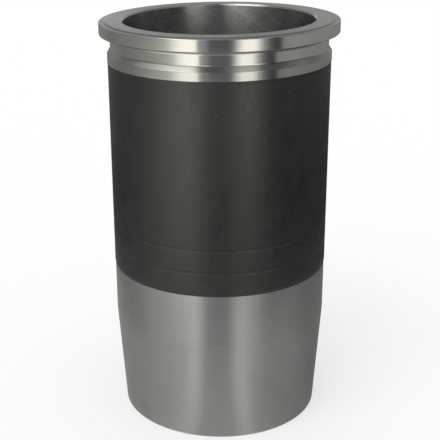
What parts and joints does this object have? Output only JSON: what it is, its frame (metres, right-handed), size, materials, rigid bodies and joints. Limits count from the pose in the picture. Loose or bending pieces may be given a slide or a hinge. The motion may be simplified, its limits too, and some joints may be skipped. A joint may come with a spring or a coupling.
{
  "type": "cylinder liner",
  "caption": "Flanged wet cylinder liner for a heavy diesel engine: honed bore, ground upper belt, dark coated jacket wall and a plain turned lower end that tapers to its base ring.",
  "frame": {"origin": "centre of the base ring, the lower end that stands on the ground", "axes": "+Z along the bore axis, up to the flange and the cylinder head"},
  "size_m": [0.16, 0.16, 0.278],
  "materials": {
    "liner_iron": "turned and ground bright iron; a satin near-black coating on the jacket wall between the two fits; a honed bore"
  },
  "bodies": {
    "root": {"cylinder_liner": "liner_iron"}
  },
  "joints": []
}
